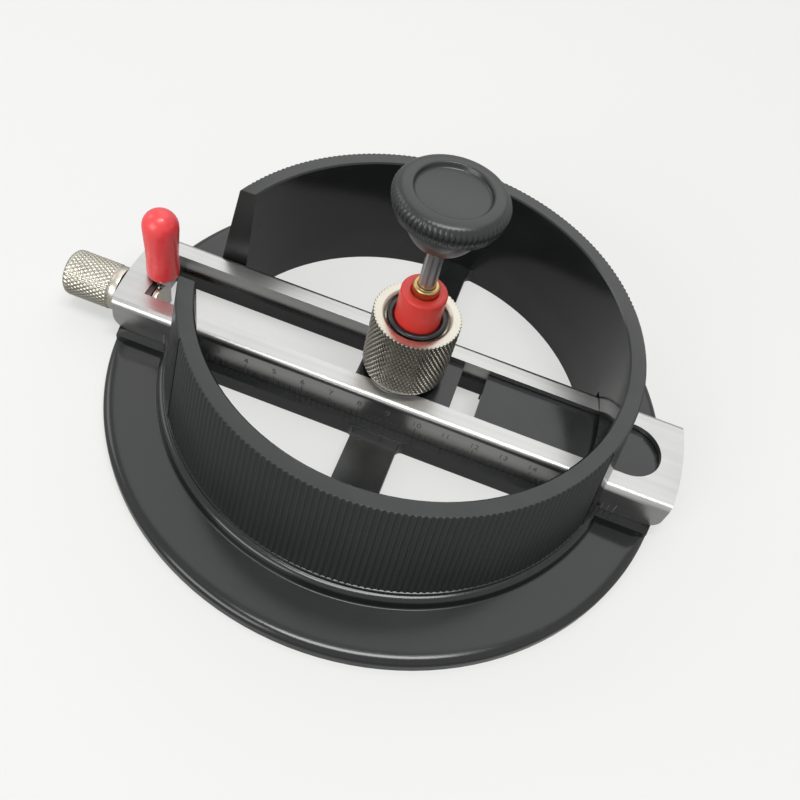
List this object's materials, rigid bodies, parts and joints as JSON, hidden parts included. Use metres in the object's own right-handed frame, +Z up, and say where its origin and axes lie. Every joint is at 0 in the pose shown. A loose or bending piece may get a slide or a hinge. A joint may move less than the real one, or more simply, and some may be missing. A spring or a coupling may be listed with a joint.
{
  "type": "circle cutter",
  "caption": "Ring-grip circle cutter: round plastic base, slotted steel rail with a capped blade, knurled clamp nuts and a sprung centre needle with a knob.",
  "frame": {"origin": "the point on the sheet under the needle, at the level of the ring's underside", "axes": "+Z up along the needle, +X along the rail away from the blade, +Y to the rear, so the scale faces -Y"},
  "size_m": [0.108, 0.0968, 0.047],
  "materials": {
    "black_plastic": "fine satin moulding",
    "knob_plastic": "matte moulding",
    "stainless": "fine brushed",
    "nickel": "satin nickel plate",
    "red_vinyl": "glossy dipped vinyl",
    "red_plastic": "semi-gloss",
    "brass": "turned",
    "rubber": "glossy",
    "polished_steel": "polished",
    "blade_steel": "ground",
    "spring_steel": "drawn wire"
  },
  "bodies": {
    "base": {"base_ring": "black_plastic", "threaded_stem": "nickel", "needle_sleeve": "red_plastic", "o_ring": "rubber", "bearing_collar": "brass", "return_spring": "spring_steel"},
    "rail": {"rail": "stainless", "end_block": "stainless", "thumb_washer": "nickel"},
    "clamp_stud": {"clamp_stud": "nickel"},
    "thumb_nut": {"thumb_nut": "nickel"},
    "blade": {"blade": "blade_steel"},
    "blade_cap": {"blade_cap": "red_vinyl"},
    "clamp_washer": {"clamp_washer": "stainless"},
    "clamp_nut": {"clamp_nut": "nickel"},
    "thrust_washer": {"thrust_washer": "spring_steel"},
    "needle": {"needle_shaft": "polished_steel", "knob": "knob_plastic", "needle_chuck": "brass", "needle": "polished_steel", "retaining_clip": "spring_steel"}
  },
  "joints": [
    {"name": "rail_slide", "type": "slide", "parent": "base", "child": "rail", "axis": [1, 0, 0], "range_m": [-0.0407, 0.0333]},
    {"name": "thumb_nut_turn", "type": "hinge", "parent": "rail", "child": "thumb_nut", "pos_m": [-0.055, -0.0032, 0.0058], "axis": [-1, 0, 0], "range_deg": [0, 720]},
    {"name": "stud_slide", "type": "slide", "parent": "rail", "child": "clamp_stud", "axis": [1, 0, 0], "range_m": [0, 0.001]},
    {"name": "blade_height", "type": "slide", "parent": "rail", "child": "blade", "axis": [0, 0, 1], "range_m": [0, 0.017]},
    {"name": "cap_pull", "type": "slide", "parent": "blade", "child": "blade_cap", "axis": [0, 0, 1], "range_m": [0, 0.015]},
    {"name": "clamp_washer_lift", "type": "slide", "parent": "base", "child": "clamp_washer", "axis": [0, 0, 1], "range_m": [0, 0.00075]},
    {"name": "clamp_nut_turn", "type": "hinge", "parent": "clamp_washer", "child": "clamp_nut", "pos_m": [0, 0, 0.016], "axis": [0, 0, 1], "range_deg": [0, 360]},
    {"name": "needle_press", "type": "slide", "parent": "base", "child": "thrust_washer", "axis": [0, 0, -1], "range_m": [0, 0.006], "stiffness_N_per_m": 150, "springref_m": -0.004, "deforming": ["return_spring"]},
    {"name": "needle_spin", "type": "hinge", "parent": "thrust_washer", "child": "needle", "pos_m": [0, 0, 0.03], "axis": [0, 0, 1], "continuous": true}
  ],
  "couplings": [
    {"joint": "stud_slide", "follows": "thumb_nut_turn", "m_per_rad": 0.00007957},
    {"joint": "clamp_washer_lift", "follows": "clamp_nut_turn", "m_per_rad": 0.00011936}
  ]
}
